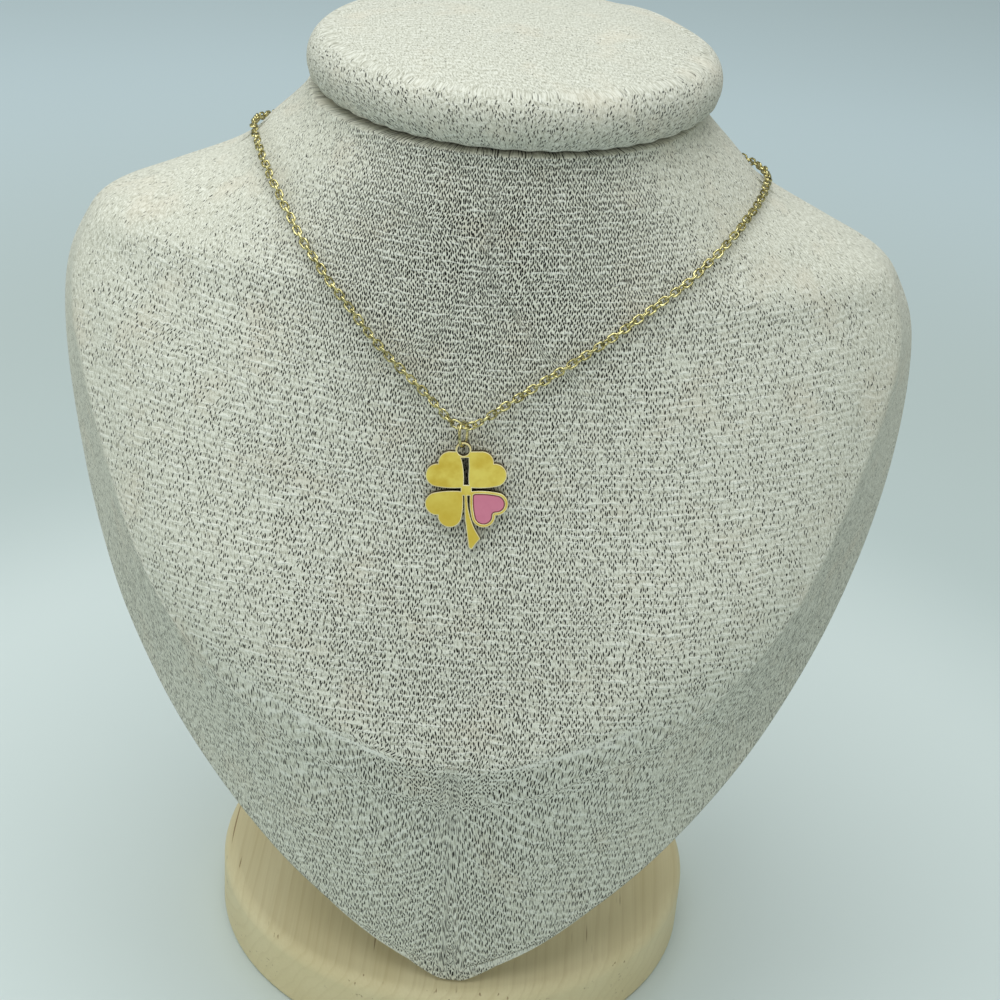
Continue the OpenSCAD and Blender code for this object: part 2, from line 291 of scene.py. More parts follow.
# cloth: a fine open knit, light threads with dark upright slits between them, in rows
knit = {
    "row": 0.0017, "wale": 0.00106,  # metres from row to row and from rib to rib
    "drift": 0.0016, "rowDrift": 0.0019,  # how far threads and rows wander, in metres
    "shake": 0.0006, "looseShake": 0.0007,  # and how far they tremble, more where it is packed
    "rowShake": 1.5,
    "brick": 0.9, "sway": 0.22,  # how far columns are moved up, in rows
    "slitWide": 0.29, "slitTall": 0.3, "slitAside": 0.5, "slitSlant": 1.2, "slitLift": 0.34,
    "loopGrain": (2500, 800, 1), "fibreGrain": (3400, 3000, 1), "slubGrain": (230, 1250, 1),
    "light": tone(232, 231, 219), "middle": tone(178, 176, 160), "slit": tone(16, 15, 12),
    "warm": tone(214, 203, 184), "pile": tone(240, 239, 230), "depth": 0.00035,
}


def clothPaint(name, contrast, pile, paintedShade=1.0):
    # contrast is how dark the gaps get, pile the share of raised light fibre, and the last number
    # darkens every colour as painted shade
    p = Paint(name)
    light, middle, bright = (tuple(c * paintedShade for c in knit[k][:3]) + (1.0,)
                             for k in ("light", "middle", "pile"))
    place = p.node("UVMap", {"uv_map": "cloth"})
    u, v, _ = p.parts(place)
    opened, order = p.attribute("open"), p.attribute("order")
    # threads drift a little, and lose their rows where the cloth is packed
    drift, rowDrift = (p.noise(spot, 70, 2) - 0.5
                       for spot in (place, p.moved(place, (7.3, 2.1, 0))))
    shake, rowShake = (p.noise(spot, 640, 1) - 0.5
                       for spot in (place, p.moved(place, (3.3, 5.1, 0))))
    loose = (1 - order) * knit["looseShake"] + knit["shake"]
    along = u + drift * knit["drift"] + shake * loose
    rise = v + rowDrift * knit["rowDrift"] + rowShake * loose * knit["rowShake"]
    # cells in columns, every other one moved up like bricks
    columns = along / (knit["wale"] / 2)
    column = columns.maths("FLOOR")
    sway = p.node("TexWhiteNoise", {"noise_dimensions": "1D"}, {"W": column})
    rows = rise / knit["row"]
    stepped = rows + (column * 0.5).maths("FRACT") * knit["brick"] + (sway - 0.5) * knit["sway"]
    cell = p.node("CombineXYZ", {}, [column, stepped.maths("FLOOR"), 0.0])
    chance = p.node("TexWhiteNoise", {"noise_dimensions": "2D"}, {"Vector": cell}, 1)
    aside, slant, closed = p.parts(chance, "Color")
    # a slit in each cell, by chance a little aside, slanting or closed
    upright = stepped.maths("FRACT") - 0.5
    across = (columns.maths("FRACT") - 0.5 + (aside - 0.5) * knit["slitAside"]
              + upright * (slant - 0.5) * knit["slitSlant"])
    lifted = upright + (slant - 0.5) * knit["slitLift"]
    reach = (across / knit["slitWide"]) ** 2 + (lifted / knit["slitTall"]) ** 2
    wanted = opened + (p.noise(place, 34, 2) - 0.5) * 0.5
    slit = (reach / (opened * 0.8 + 0.5)).step(1.25, 0.5) * (wanted - closed * 1.15).step(-0.2, 0.2)
    # threads: rows, single fibres and raised slubs that lie along the row
    ridge = (rows * math.tau).maths("COSINE") * 0.5 + 0.5
    slantwise = p.node("CombineXYZ", {}, [along + rise * 0.3, rise - along * 0.2, 0.0])
    loops = p.noise(p.stretched(slantwise, knit["loopGrain"]), 1, 2, 0.6)
    fibre = p.noise(p.stretched(place, knit["fibreGrain"]), 1, 1, 0.6)
    level = p.node("CombineXYZ", {}, [along, rise, 0.0])
    slub = p.noise(p.stretched(level, knit["slubGrain"]), 1, 2)
    raised = slub.step(0.5, 0.64) * ridge.step(0.25, 0.9) * (order * 0.75 + 0.25)
    body = (ridge * order * 0.2 + loops * 1.25 + fibre * 0.5 - 0.42).maths("MINIMUM", 1.0)
    shade = slit * (1 - raised * 0.75) * contrast
    speck = loops.step(0.41, 0.26) * (opened * 0.4 + 0.12)
    colour = p.mixed(body.step(0.2, 0.75), middle, light)
    colour = p.mixed(p.noise(place, 60, 2).step(0.5, 0.75) * 0.35, colour, knit["warm"])
    colour = p.mixed(raised * pile, colour, bright)
    colour = p.mixed(speck, colour, knit["slit"])
    colour = p.mixed(shade, colour, knit["slit"])
    # painted highlights along the hem and the crease, and painted shadow on the cloth behind the
    # clover
    hemHighlight = p.attribute("hemHighlight").step(0.8, 0.96)
    creaseHighlight = p.attribute("creaseHighlight").step(0.25, 0.65) * slub.step(0.3, 0.55)
    colour = p.mixed((hemHighlight * 0.5).maths("MAXIMUM", creaseHighlight * 0.9), colour, bright)
    colour = p.mixed(p.attribute("cloverShadow") * 0.8, colour, knit["slit"])
    bump = p.bump(body * 0.5 + raised * 0.6 - shade * 1.1, 0.5, knit["depth"])
    return p.shiny({"Base Color": colour, "Normal": bump, "Roughness": 0.95,
                    "Specular IOR Level": 0.1, "Sheen Weight": 0.08, "Sheen Roughness": 0.6})


# the neck bust in its stretched cloth; lengths are in metres and angles in degrees
bust = {
    "quads": 60, "subdivisions": 2, "rounds": 3, "held": 0.9,
    "topFree": (0.006, 0.016), "tipFree": (0.001, 0.006),
    "backLean": 24, "backMatch": 0.985, "hemTop": 0.17, "hemEdges": (0.0042, 0.0034),
    "chestHalf": 0.045, "chestRise": (0.13, 0.2), "chestAhead": 0.04, "chestLean": 16,
    "tipTop": 0.115, "tipFall": 0.094, "tipAside": 0.0034,
    "apexHalf": 0.014, "apexTall": 0.01, "apexAhead": 0.0012, "apexDown": 0.0005,
    "shoulderOut": 0.002, "shoulderUp": 0.0012,
    "pressed": 0.0003, "pressReach": 0.0025,
    "creaseTop": 0.15, "creaseFacing": 0.1, "creaseSoft": 0.06,
    "underSlope": 0.857, "drawnDown": 0.42,
}


def clothSeams(mesh, co):
    # seams run round the flat back and the top and up the back of the neck; the hem runs
    # round the back below the shoulders, and comes as a tree of points along it
    lean = math.radians(bust["backLean"])
    normal = listed(mesh.polygons, "normal")
    backwards = normal @ np.array([0, math.cos(lean), -math.sin(lean)])
    group = np.where(backwards > bust["backMatch"], 1, 0)
    group[normal[:, 2] > 0.999] = 2
    around = {}
    for face in mesh.polygons:
        for key in face.edge_keys:
            around.setdefault(key, set()).add(int(group[face.index]))
    seams, hemHighlight = set(), []
    for edge in mesh.edges:
        key = tuple(sorted(edge.vertices))
        first, last = (co[i] for i in edge.vertices)
        if len(around[key]) > 1:
            seams.add(edge.index)
            if 2 not in around[key] and first[2] < bust["hemTop"]:
                hemHighlight += [first * (1 - share) + last * share for share in (0, 0.25, 0.5, 0.75)]
        elif around[key] == {0} and all(abs(co[i, 0]) < 1e-5 and co[i, 1] > 0.01 for i in key):
            seams.add(edge.index)
    return seams, treeOf(hemHighlight)


def layCloth(piece, seams):
    # unwrap the cloth, then bring it to metres with its rows level on the chest
    mesh = piece.data
    for name in [layer.name for layer in mesh.uv_layers]:
        mesh.uv_layers.remove(mesh.uv_layers[name])
    mesh.uv_layers.new(name="cloth")
    deselectParts(piece, "EDGE")
    for edge in mesh.edges:
        edge.use_seam = edge.index in seams
    editAll(piece)
    bpy.ops.uv.unwrap(method="ANGLE_BASED", margin=0.02)
    objectMode()
    layer = mesh.uv_layers["cloth"]
    flat = listed(layer.data, "uv", 2) @ np.array([1, 1j])
    x, y, z = points(piece)[cornerPoints(piece)].T
    lowest, highest = bust["chestRise"]
    chest = (abs(x) < bust["chestHalf"]) & (z > lowest) & (z < highest) & (y < -bust["chestAhead"])
    wanted = (x + 1j * z / math.cos(math.radians(bust["chestLean"])))[chest]
    fits = []
    for turned in (flat, flat.conj()):
        system = np.stack([turned[chest], np.ones(chest.sum())], 1)
        fit, left, _, _ = np.linalg.lstsq(system, wanted, rcond=None)
        fits.append((float(left[0]), turned * fit[0] + fit[1]))
    flat = min(fits, key=lambda found: found[0])[1]
    layer.data.foreach_set("uv", np.stack([flat.real, flat.imag], 1).ravel().astype(np.float32))


def smoothThrough(piece, wanted):
    # the smoothed cloth passes through the frame's points, so the form keeps its outline;
    # the top under the cap and the lower tip are left to round off
    held, z = wanted.copy(), wanted[:, 2]
    top, tip = bust["topFree"], bust["tipFree"]
    share = bust["held"] * softStep(z, z.max() - top[0], z.max() - top[1])
    share = (share * softStep(z, z.min() + tip[0], z.min() + tip[1]))[:, None]
    for _ in range(bust["rounds"]):
        placePoints(piece, held)
        modifier = addSmooth(piece, 1)
        seen = piece.evaluated_get(bpy.context.evaluated_depsgraph_get()).to_mesh()
        held += share * (wanted - listed(seen.vertices, "co")[:len(wanted)])
        piece.modifiers.remove(modifier)
    placePoints(piece, held)
    addSmooth(piece, bust["subdivisions"])
    applyAll(piece)
    bpy.ops.object.shade_smooth()


def unevenForm(co):
    # the real form is a little uneven: its tip stands to the right and further forward,
    # and one shoulder stands further out and up
    side, rise = co[:, 0].copy(), co[:, 2].copy()
    fall = np.clip((bust["tipTop"] - rise) / bust["tipFall"], 0, 1) ** 1.5
    shoulder = softStep(-side, 0.06, 0.108) * softStep(rise, 0.15, 0.2)
    off = np.hypot(abs(side) / bust["apexHalf"], (rise - rise.min()) / bust["apexTall"])
    apex = np.clip(1 - off, 0, 1)
    co[:, 0] += bust["tipAside"] * fall - bust["shoulderOut"] * shoulder
    co[:, 1] -= bust["apexAhead"] * apex
    co[:, 2] += bust["shoulderUp"] * shoulder - bust["apexDown"] * apex


def markCloth(piece, co, facing, hemTree):
    # what the cloth's paint reads at each point
    x, y, z = co.T
    ahead = softStep(-facing[:, 1], 0.5, 0.97)
    under = softStep(facing[:, 2], 0.1, -0.25)
    # stretched open over the neck and chest, closed on the sides
    middle = 0.55 + 0.45 * bell(x, 0.045)
    throat = softStep(z, 0.19, 0.235) * bell(x, 0.05)
    stretch = np.maximum(ahead * middle, under * 0.95 * middle)
    floatAttribute(piece, "open", 0.1 + 0.9 * stretch + 0.65 * throat)
    floatAttribute(piece, "order", ahead * (1 - under * 0.1))
    # a painted highlight along the crease, strongest in the middle
    crease = (bell(facing[:, 2] + bust["creaseFacing"], bust["creaseSoft"])
              * softStep(z, bust["creaseTop"], 0.12) * softStep(-facing[:, 1], 0.5, 0.8))
    floatAttribute(piece, "creaseHighlight", crease * (0.5 + 0.5 * bell(x, 0.03)))
    # painted shadow on the cloth in the middle of the clover's back, where no light reaches
    low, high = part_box("clover_plate")
    away = np.hypot(x - (low.x + high.x) / 2, z - (low.z * 0.4 + high.z * 0.6))
    floatAttribute(piece, "cloverShadow", softStep(away, 0.0075, 0.005) * softStep(-y, 0.02, 0.03))
    # the painted highlight along the hem shows on the front only, and not at the very tip
    hemHighlight = softStep(distances(hemTree, co), *bust["hemEdges"])
    floatAttribute(piece, "hemHighlight", hemHighlight * softStep(z, 0.15, 0.13) * softStep(z, 0.022, 0.028)
                   * softStep(facing[:, 1], 0.6, 0.2))


def drawDown(piece, co, facing):
    # below the crease the cloth is drawn down and its rows stand further apart
    x, z = abs(co[:, 0]), co[:, 2]
    onCrease = ((abs(facing[:, 2] + bust["creaseFacing"]) < 0.08) & (facing[:, 1] < -0.5)
                & (z < bust["creaseTop"]))
    curve = np.polyfit(x[onCrease], z[onCrease], 4)
    crease = np.polyval(curve, np.clip(x, 0, x[onCrease].max()))
    below = np.maximum(0, crease - z) / bust["underSlope"] * (facing[:, 1] < 0.3)
    layer = piece.data.uv_layers["cloth"]
    uv = listed(layer.data, "uv", 2)
    uv[:, 1] += bust["drawnDown"] * below[cornerPoints(piece)]
    layer.data.foreach_set("uv", uv.ravel())


def makeBust():
    piece = mergedCopy("bust_form", "bustCloth")
    editAll(piece)
    limit = math.radians(bust["quads"])
    bpy.ops.mesh.tris_convert_to_quads(face_threshold=limit, shape_threshold=limit)
    objectMode()
    wanted = points(piece)
    seams, hemTree = clothSeams(piece.data, wanted)
    layCloth(piece, seams)
    smoothThrough(piece, wanted)
    co = points(piece)
    unevenForm(co)
    placePoints(piece, co)
    # the chain presses a little into the cloth
    facing = listed(piece.data.vertices, "normal")
    chain = np.concatenate([points(nodes[name])[::20] for name in ("chain_left", "chain_right")])
    pressed = bust["pressed"] * bell(distances(treeOf(chain), co), bust["pressReach"])
    co -= facing * pressed[:, None]
    placePoints(piece, co)
    markCloth(piece, co, facing, hemTree)
    drawDown(piece, co, facing)
    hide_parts("bust_form")
    piece.data.materials.append(clothPaint("knitCloth", 1.0, 0.75))
    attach(piece, "root")


makeBust()
print("bust covered")

# the padded cap on the neck
cap = {
    "around": 96, "rim": 0.0062, "rimSteps": 7, "dome": 0.003, "domeSteps": 6, "underSteps": 2,
    "side": 0.0016, "slimmer": 0.0006,
    "overRim": 2.64, "wholeRim": 2.6,  # length of cloth round the rim, in rims
    "pressure": 4, "frames": 20, "swell": 0.0009,
    "lumps": 55, "puff": 0.0004, "gathers": 46, "gather": 0.00035, "tucked": 0.0003,
}


def swellCloth(piece, heldBelow):
    # air blows the cloth up a little; its underside is held, and no point moves more than swell
    start = points(piece)
    held = piece.vertex_groups.new(name="held")
    held.add([i for i, c in enumerate(start) if c[2] < heldBelow], 1.0, "REPLACE")
    settings = piece.modifiers.new("cloth", "CLOTH").settings
    settings.use_pressure, settings.uniform_pressure_force = True, cap["pressure"]
    settings.effector_weights.gravity = 0
    settings.vertex_group_mass = "held"
    for number in range(1, cap["frames"] + 1):
        bpy.context.scene.frame_set(number)
    applyAll(piece)
    bpy.context.scene.frame_set(1)
    piece.vertex_groups.clear()
    moved = points(piece) - start
    far = np.linalg.norm(moved, axis=1)
    print("cap swelled by", round(float(far.mean()) * 1000, 2), "mm before the limit, most",
          round(float(far.max()) * 1000, 2))
    moved *= (np.minimum(far, cap["swell"]) / np.maximum(far, 1e-9))[:, None]
    placePoints(piece, start + moved)


def roundedDisc(middle, low, radius, rimHeight):
    # a disc with a rounded rim, its top and underside drawn in by rings
    deselectAll()
    bpy.ops.mesh.primitive_cylinder_add(vertices=cap["around"], radius=radius, depth=rimHeight,
                                        location=(middle.x, middle.y, low + rimHeight / 2))
    piece = bpy.context.active_object
    piece.name = "capCloth"
    bpy.ops.object.transform_apply(location=True, rotation=True, scale=True)
    deselectParts(piece, "EDGE")
    for edge in piece.data.edges:
        ends = [piece.data.vertices[i].co.z for i in edge.vertices]
        edge.select = abs(ends[0] - ends[1]) < 1e-6
    editMode()
    bpy.ops.mesh.bevel(offset=cap["rim"], segments=cap["rimSteps"], profile=0.5)
    objectMode()
    for height, steps in ((low + rimHeight, cap["domeSteps"]), (low, cap["underSteps"])):
        editFaces(piece, lambda f: len(f.vertices) > 8 and abs(f.center.z - height) < 1e-4)
        for _ in range(steps):
            bpy.ops.mesh.inset(thickness=(radius - cap["rim"]) / (steps + 0.7))
        bpy.ops.mesh.poke()
        objectMode()
    return piece


def gatherRim(piece, middle, low, high, flat):
    # slack in the cloth, and small gathers where it is tucked in under the rim
    co = points(piece)
    for i, c in enumerate(co):
        angle = math.atan2(c[1] - middle.y, c[0] - middle.x)
        lump = noise.noise(Vector(c) * cap["lumps"])
        puff = lump * cap["puff"]
        tuck = (softStep(c[2], low.z + 0.006, low.z + 0.001) * cap["gather"]
                * math.sin(angle * cap["gathers"] + 3 * lump))
        near = softStep(np.hypot(c[0] - middle.x, c[1] - middle.y), flat - 0.01, flat)
        out = np.array([math.cos(angle), math.sin(angle), 0.0])
        co[i] = c + out * near * (tuck + puff * 0.4 - cap["tucked"])
        co[i, 2] += puff * softStep(c[2], low.z + 0.008, high.z - 0.003)
    placePoints(piece, co)


def makeCap():
    low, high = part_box("neck_cap")
    middle = (low + high) / 2
    middle.x += cap["side"]
    radius = (high.x - low.x) / 2 - cap["slimmer"]
    rimHeight = (high.z - low.z) - cap["dome"] - cap["slimmer"]
    top, flat = low.z + rimHeight, radius - cap["rim"]
    piece = roundedDisc(middle, low.z, radius, rimHeight)
    # the top is raised into a low dome
    co = points(piece)
    ways = co[:, :2] - np.array(middle[:2])
    reach = np.linalg.norm(ways, axis=1)
    rise = cap["dome"] * (1 - np.clip(reach / radius, 0, 1) ** 2)
    co[:, 2] += np.where(co[:, 2] > top - 0.004, rise * softStep(co[:, 2], top - 0.005, top), 0)
    placePoints(piece, co)
    # the cloth runs from the middle of the top out, over the rim and in again below
    down = np.clip((top - co[:, 2]) / rimHeight, 0, 1)
    under = (co[:, 2] < low.z + 0.001) & (reach < flat)
    length = np.where(reach < flat, reach, flat + cap["rim"] * cap["overRim"] * down)
    length = np.where(under, flat + cap["rim"] * cap["wholeRim"] + (flat - reach), length)
    way = ways / np.maximum(reach, 1e-9)[:, None]
    cloth = (way * length[:, None])[cornerPoints(piece)]
    piece.data.uv_layers.new(name="cloth").data.foreach_set("uv", cloth.astype(np.float32).ravel())
    for name in [layer.name for layer in piece.data.uv_layers if layer.name != "cloth"]:
        piece.data.uv_layers.remove(piece.data.uv_layers[name])
    front = softStep(-way[:, 1], -0.2, 0.7) * softStep(reach, flat + 0.001, flat + 0.0052)
    floatAttribute(piece, "open", 0.06 + 0.55 * front)
    floatAttribute(piece, "order", np.full(len(co), 0.3))
    # the cap has none of the bust's painted highlights or painted shadow
    for name in ("hemHighlight", "creaseHighlight", "cloverShadow"):
        floatAttribute(piece, name, np.zeros(len(co)))
    swellCloth(piece, low.z + 0.0004)
    addSmooth(piece, 2)
    applyAll(piece)
    gatherRim(piece, middle, low, high, flat)
    activate(piece)
    bpy.ops.object.shade_smooth()
    # the cap takes a dimmed copy of the knit: painted shade that tones down its brightly lit top
    piece.data.materials.append(clothPaint("capKnit", 0.9, 0.7, 0.9))
    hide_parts("neck_cap")
    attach(piece, "root")


makeCap()
print("cap padded")

# pale turned wood; the rings are cut from a log whose heart lies to the right and below
timber = {
    "light": tone(222, 210, 172), "middle": tone(212, 198, 156), "dark": tone(184, 164, 118),
    "streak": tone(120, 84, 50), "roughness": 0.55,
    "ring": 0.0034, "heartSide": 0.42, "heartRise": -0.22, "wobble": 0.012, "ringWobble": 5.5,
}


def woodPaint(name):
    p = Paint(name)
    place = p.place()

    def grain(scale, detail, roughness=0.5):
        return p.noise(p.stretched(place, scale), 1, detail, roughness)

    x, _, z = p.parts(place)
    across = x - timber["heartSide"] + (grain((14, 5, 14), 2) - 0.5) * timber["wobble"]
    height = z - timber["heartRise"]
    radius = (across ** 2 + height ** 2).maths("SQRT")
    turns = radius / timber["ring"] + grain((42, 3, 42), 3) * timber["ringWobble"]
    ring = turns.maths("FRACT")
    late = ring.step(0.55, 0.92) * ring.step(1.0, 0.94)
    fibre = grain((1500, 26, 1500), 4, 0.6)
    colour = p.mixed(grain((60, 7, 60), 2).step(0.3, 0.75), timber["light"], timber["middle"])
    colour = p.mixed(late * 0.2, colour, timber["dark"])
    colour = p.mixed((fibre - 0.5) * 0.5 + 0.12, colour, timber["dark"])
    # short dark dashes, thick in some places and absent in others
    fleck = grain((900, 34, 900), 1).step(0.66, 0.73) * grain((90, 30, 90), 1).step(0.52, 0.6)
    colour = p.mixed(fleck * 0.75, colour, timber["streak"])
    # the upright sides are a little lighter than the top
    upward = abs(p.parts(p.normal())[2])
    colour = p.mixed((1 - upward) * 0.35, colour, timber["light"])
    bump = p.bump(fibre * 0.6 + late * 0.3 - fleck, 0.25, 0.0002)
    return p.shiny({"Base Color": colour, "Normal": bump, "Roughness": timber["roughness"],
                    "Specular IOR Level": 0.35})


def dress(nodeName, material):
    # a frame piece whose shape is right gets its finish
    node = nodes[nodeName]
    node.data.materials.clear()
    node.data.materials.append(material)


wood = woodPaint("paleWood")
dress("wooden_base", wood)
dress("support_post", wood)
print("wood finished")

# gold plating: satin on the clover's face with a painted highlight on its border, polished on ring
# and chain, whose dark patches are painted reflection
gilt = {
    "bright": tone(255, 231, 118), "deep": tone(234, 200, 82), "wallShade": tone(104, 80, 40),
    "shine": tone(252, 238, 190), "pale": tone(238, 216, 156),
    "wire": tone(240, 228, 166), "wireReflectedDark": tone(88, 80, 40),
    "satin": 0.42, "border": 0.3, "polish": 0.18, "deeperFrom": 0.186, "deeperTo": 0.178,
}


def goldPaint(name, bright, deep, roughness, brushed, front=None, metal=1.0, patches=260):
    p = Paint(name)
    place = p.place()
    hair = p.noise(p.stretched(place, (9000, 1500, 700)), 1, 3)
    cloud = p.noise(place, patches, 3)
    colour = p.mixed(cloud.step(0.3, 0.75), bright, deep)
    rough = roughness + (cloud - 0.5) * 0.12 + (hair - 0.5) * brushed
    if front:
        # deeper gold low down; the flat face is satin, its cut edge gets a painted highlight, and
        # the sides get painted shade
        height = p.parts(place)[2]
        colour = p.mixed(height.step(gilt["deeperFrom"], gilt["deeperTo"]) * 0.6, colour, deep)
        faced = abs(p.node("VectorMath", {"operation": "DOT_PRODUCT"}, [p.normal(), front], 1))
        edge = faced.step(0.985, 0.95)
        colour = p.mixed(edge, colour, gilt["shine"])
        metal = 1 - edge * 0.75 * faced.step(0.45, 0.6)
        colour = p.mixed(faced.step(0.45, 0.25), colour, gilt["wallShade"])
        rough = rough * (1 - edge * 0.5)
    bump = p.bump(hair, brushed * 0.35, 0.00005)
    return p.shiny({"Base Color": colour, "Metallic": metal, "Roughness": rough, "Normal": bump})


def flatFaced(nodeName, name):
    # a merged copy whose flat sides are single faces, and its front face's number and normal
    piece = mergedCopy(nodeName, name)
    editAll(piece)
    bpy.ops.mesh.dissolve_limited(angle_limit=math.radians(1))
    objectMode()
    front = max(piece.data.polygons, key=lambda f: -f.normal.y * f.area)
    return piece, front.index, front.normal.copy()


plate = {"bevel": 0.0001, "segments": 2, "border": 0.00023, "level": 0.99, "smoothTo": 35}


def makePlate():
    piece, _, ahead = flatFaced("clover_plate", "cloverPlate")

    def isFront(face):
        return face.normal.dot(ahead) > plate["level"]

    # a narrow border with a painted highlight runs along every edge of the front
    editFaces(piece, isFront)
    bpy.ops.mesh.inset(thickness=plate["border"])
    objectMode()
    front, sides = set(), set()
    for face in piece.data.polygons:
        face.material_index = int(isFront(face) and not face.select)
        (front if isFront(face) else sides).update(face.edge_keys)
    # only the edges between the front and the sides are bevelled
    turned = front & sides
    weight = piece.data.attributes.new("bevel_weight_edge", "FLOAT", "EDGE")
    weight.data.foreach_set("value", [float(tuple(sorted(edge.vertices)) in turned)
                                      for edge in piece.data.edges])
    modifier = piece.modifiers.new("edges", "BEVEL")
    modifier.width, modifier.segments = plate["bevel"], plate["segments"]
    modifier.limit_method = "WEIGHT"
    modifier.use_clamp_overlap = False
    applyAll(piece)
    bpy.ops.object.shade_smooth_by_angle(angle=math.radians(plate["smoothTo"]))
    piece.modifiers.new("flat faces", "WEIGHTED_NORMAL").keep_sharp = True
    applyAll(piece)
    satin = goldPaint("satinGold", gilt["bright"], gilt["deep"], gilt["satin"], 0.16, tuple(ahead))
    # the border's pale gold with less metal is a painted highlight along the cut edge
    border = goldPaint("edgeHighlightGold", gilt["shine"], gilt["pale"], gilt["border"], 0.05, metal=0.55)
    piece.data.materials.append(satin)
    piece.data.materials.append(border)
    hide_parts("clover_plate")
    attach(piece, "root")


enamel = {
    "pink": tone(218, 126, 152), "deepPink": tone(208, 114, 142),
    "rim": tone(140, 54, 60), "deepRim": tone(116, 40, 46), "border": 0.0002, "smoothTo": 28,
}


def enamelPaint(name, colour, deep):
    p = Paint(name)
    place = p.place()
    tint = p.mixed(p.noise(place, 500, 2).step(0.3, 0.8) * 0.5, colour, deep)
    bump = p.bump(p.noise(place, 900, 1), 0.05, 0.0001)
    return p.shiny({"Base Color": tint, "Roughness": 0.28, "Coat Weight": 0.6,
                    "Coat Roughness": 0.08, "Normal": bump})


def makeEnamel():
    # the pink face has a dark narrow border, and the sides are dark too
    piece, front, _ = flatFaced("enamel_heart", "enamelFill")
    editFaces(piece, lambda f: f.index == front)
    bpy.ops.mesh.inset(thickness=enamel["border"])
    objectMode()
    piece.data.materials.append(enamelPaint("pinkEnamel", enamel["pink"], enamel["deepPink"]))
    piece.data.materials.append(enamelPaint("enamelBorder", enamel["rim"], enamel["deepRim"]))
    for face in piece.data.polygons:
        face.material_index = 0 if face.select else 1
    activate(piece)
    bpy.ops.object.shade_smooth_by_angle(angle=math.radians(enamel["smoothTo"]))
    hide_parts("enamel_heart")
    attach(piece, "root")


makePlate()
makeEnamel()
print("clover finished")

# chain: one smooth link, copied to the place of each link of the frame; roll turns a link
# about its length, less and less over the last few links at each end
link = {"around": 14, "sides": 6, "length": 0.0031, "width": 0.0022, "wire": 0.0005,
        "fuller": 1.1, "roll": 45, "easedIn": 4}


def oneLink():
    # a ring of wire, pulled apart into an oval by moving its two halves; six flat sides take
    # a slightly fuller radius to hold as much metal as the round wire
    deselectAll()
    bpy.ops.mesh.primitive_torus_add(major_segments=link["around"], minor_segments=link["sides"],
                                     major_radius=(link["width"] - link["wire"]) / 2,
                                     minor_radius=link["wire"] / 2 * link["fuller"],
                                     location=(0, 0, 0))
    piece = bpy.context.active_object
    half = (link["length"] - link["width"]) / 2
    for way in (1, -1):
        deselectParts(piece, "VERT")
        for corner in piece.data.vertices:
            corner.select = corner.co.x * way > 1e-5
        editMode()
        bpy.ops.transform.translate(value=(half * way, 0, 0))
        objectMode()
    activate(piece)
    bpy.ops.object.shade_smooth()
    return piece


def islands(mesh):
    # loose pieces of a triangle mesh, by the corners that its faces share
    keys, same = np.unique(np.round(listed(mesh.vertices, "co"), 7), axis=0, return_inverse=True)
    mesh.calc_loop_triangles()
    tri = same.ravel()[listed(mesh.loop_triangles, "vertices", 3, int)]
    label = np.arange(len(keys))
    while True:
        least = label[tri].min(1)
        new = label.copy()
        for k in range(3):
            np.minimum.at(new, tri[:, k], least)
        new = new[new]
        if (new == label).all():
            break
        label = new
    owner = label[tri[:, 0]]
    for number in np.unique(owner):
        yield keys[tri[owner == number]]


def linkPlace(triangles):
    # directions and middle of a link, from the spread of its surface
    corner = triangles - triangles.mean((0, 1))
    cross = np.cross(corner[:, 1] - corner[:, 0], corner[:, 2] - corner[:, 0])
    area = np.linalg.norm(cross, axis=1) / 2
    centre = (corner.mean(1) * area[:, None]).sum(0) / area.sum()
    spread = np.zeros((3, 3))
    for a in range(3):
        for b in range(3):
            weight = area * (2 if a == b else 1) / 12
            spread += np.einsum("n,ni,nj->ij", weight, corner[:, a] - centre, corner[:, b] - centre)
    _, ways = np.linalg.eigh(spread)
    along, across = ways[:, 2], ways[:, 1]
    through = np.cross(along, across)
    return np.stack([along, across, through], 1), centre + triangles.mean((0, 1))


def inOrder(places):
    # from the link next to the jump ring, each time on to the nearest one left
    low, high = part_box("jump_ring")
    here, left, found = np.array((low + high) / 2), list(places), []
    while left:
        nearest = min(range(len(left)), key=lambda k: np.linalg.norm(left[k][1] - here))
        found.append(left.pop(nearest))
        here = found[-1][1]
    return found


def makeChain(nodeName, name, model, material):
    copies = []
    places = inOrder([linkPlace(triangles) for triangles in islands(nodes[nodeName].data)])
    last = len(places) - 1
    for k, (turn, centre) in enumerate(places):
        onward = places[min(k + 1, last)][1] - places[max(k - 1, 0)][1]
        share = min(k, last - k, link["easedIn"]) / link["easedIn"]
        roll = math.radians(link["roll"]) * share * (1 if onward @ turn[:, 0] > 0 else -1)
        turned = Matrix(turn.tolist()).to_4x4() @ Matrix.Rotation(roll, 4, "X")
        copy = bpy.data.objects.new(name, model.data.copy())
        copy.data.transform(Matrix.Translation(centre) @ turned)
        bpy.context.scene.collection.objects.link(copy)
        copies.append(copy)
    deselectAll()
    for copy in copies:
        copy.select_set(True)
    piece = copies[0]
    bpy.context.view_layer.objects.active = piece
    bpy.ops.object.join()
    piece.data.materials.clear()
    piece.data.materials.append(material)
    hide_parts(nodeName)
    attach(piece, "root")
    print(name, len(copies), "links")


# the polished gold is mottled with dark patches, painted reflection of dark surroundings
polished = goldPaint("polishedGold", gilt["wire"], gilt["wireReflectedDark"], gilt["polish"], 0.05,
                     patches=1100)
linkModel = oneLink()
makeChain("chain_left", "chainLeft", linkModel, polished)
makeChain("chain_right", "chainRight", linkModel, polished)
bpy.data.objects.remove(linkModel)
dress("jump_ring", polished)
dress("clasp", polished)
print("chain hung")

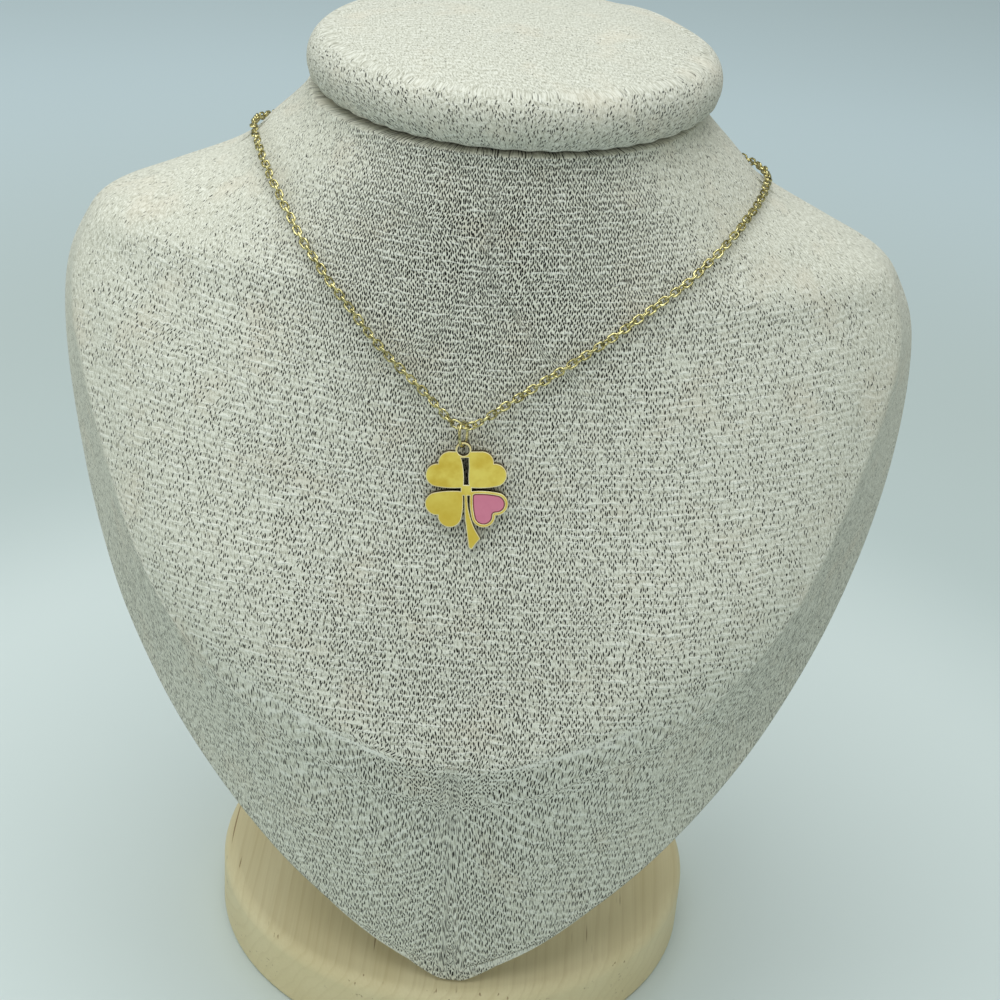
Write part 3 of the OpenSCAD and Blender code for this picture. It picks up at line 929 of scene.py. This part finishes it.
# plain pale floor, white near the stand and blue-grey further off, under a soft sky
studio = {
    "near": tone(209, 219, 219), "middle": tone(190, 202, 202), "far": tone(212, 228, 236),
    "size": 6.0, "sky": (0.83, 0.9, 0.82, 1), "skyStrength": 0.36,
}


def makeFloor():
    deselectAll()
    bpy.ops.mesh.primitive_plane_add(size=studio["size"], location=(0, 0, 0))
    floor = bpy.context.active_object
    floor.name = "floor"
    p = Paint("floorPaper")
    reach = p.node("VectorMath", {"operation": "LENGTH"}, [p.place()], 1)
    colour = p.mixed(reach.step(0.2, 0.32), studio["near"], studio["middle"])
    colour = p.mixed(reach.step(0.4, 0.9), colour, studio["far"])
    floor.data.materials.append(p.shiny({"Base Color": colour, "Roughness": 0.9,
                                         "Specular IOR Level": 0.1}))


lamps = {
    "above": {"place": (-0.1, -0.12, 1.3), "aim": (0, -0.02, 0.15), "size": 1.3,
              "power": 15, "colour": (0.955, 1.0, 1.02)},
    "front": {"place": (0.35, -1.3, 0.6), "aim": (0, 0, 0.15), "size": 1.0,
              "power": 2.4, "colour": (0.97, 1.0, 0.9)},
    "left": {"place": (-1.2, -0.3, 0.5), "aim": (0, 0, 0.15), "size": 0.8,
             "power": 2.0, "colour": (0.97, 1.0, 0.9)},
}


def makeLights():
    for name, lamp in lamps.items():
        light = bpy.data.lights.new(name, "AREA")
        light.shape, light.size, light.energy = "SQUARE", lamp["size"], lamp["power"]
        light.color = lamp["colour"]
        holder = bpy.data.objects.new(name, light)
        holder.location = lamp["place"]
        holder.rotation_mode = "QUATERNION"
        aim = Vector(lamp["aim"]) - Vector(lamp["place"])
        holder.rotation_quaternion = aim.to_track_quat("-Z", "Y")
        bpy.context.scene.collection.objects.link(holder)
    world = bpy.data.worlds.new("sky")
    bpy.context.scene.world = world
    world.use_nodes = True
    back = world.node_tree.nodes["Background"]
    back.inputs["Color"].default_value = studio["sky"]
    back.inputs["Strength"].default_value = studio["skyStrength"]
    bpy.context.scene.view_settings.view_transform = "Standard"


makeFloor()
makeLights()
print("studio set")
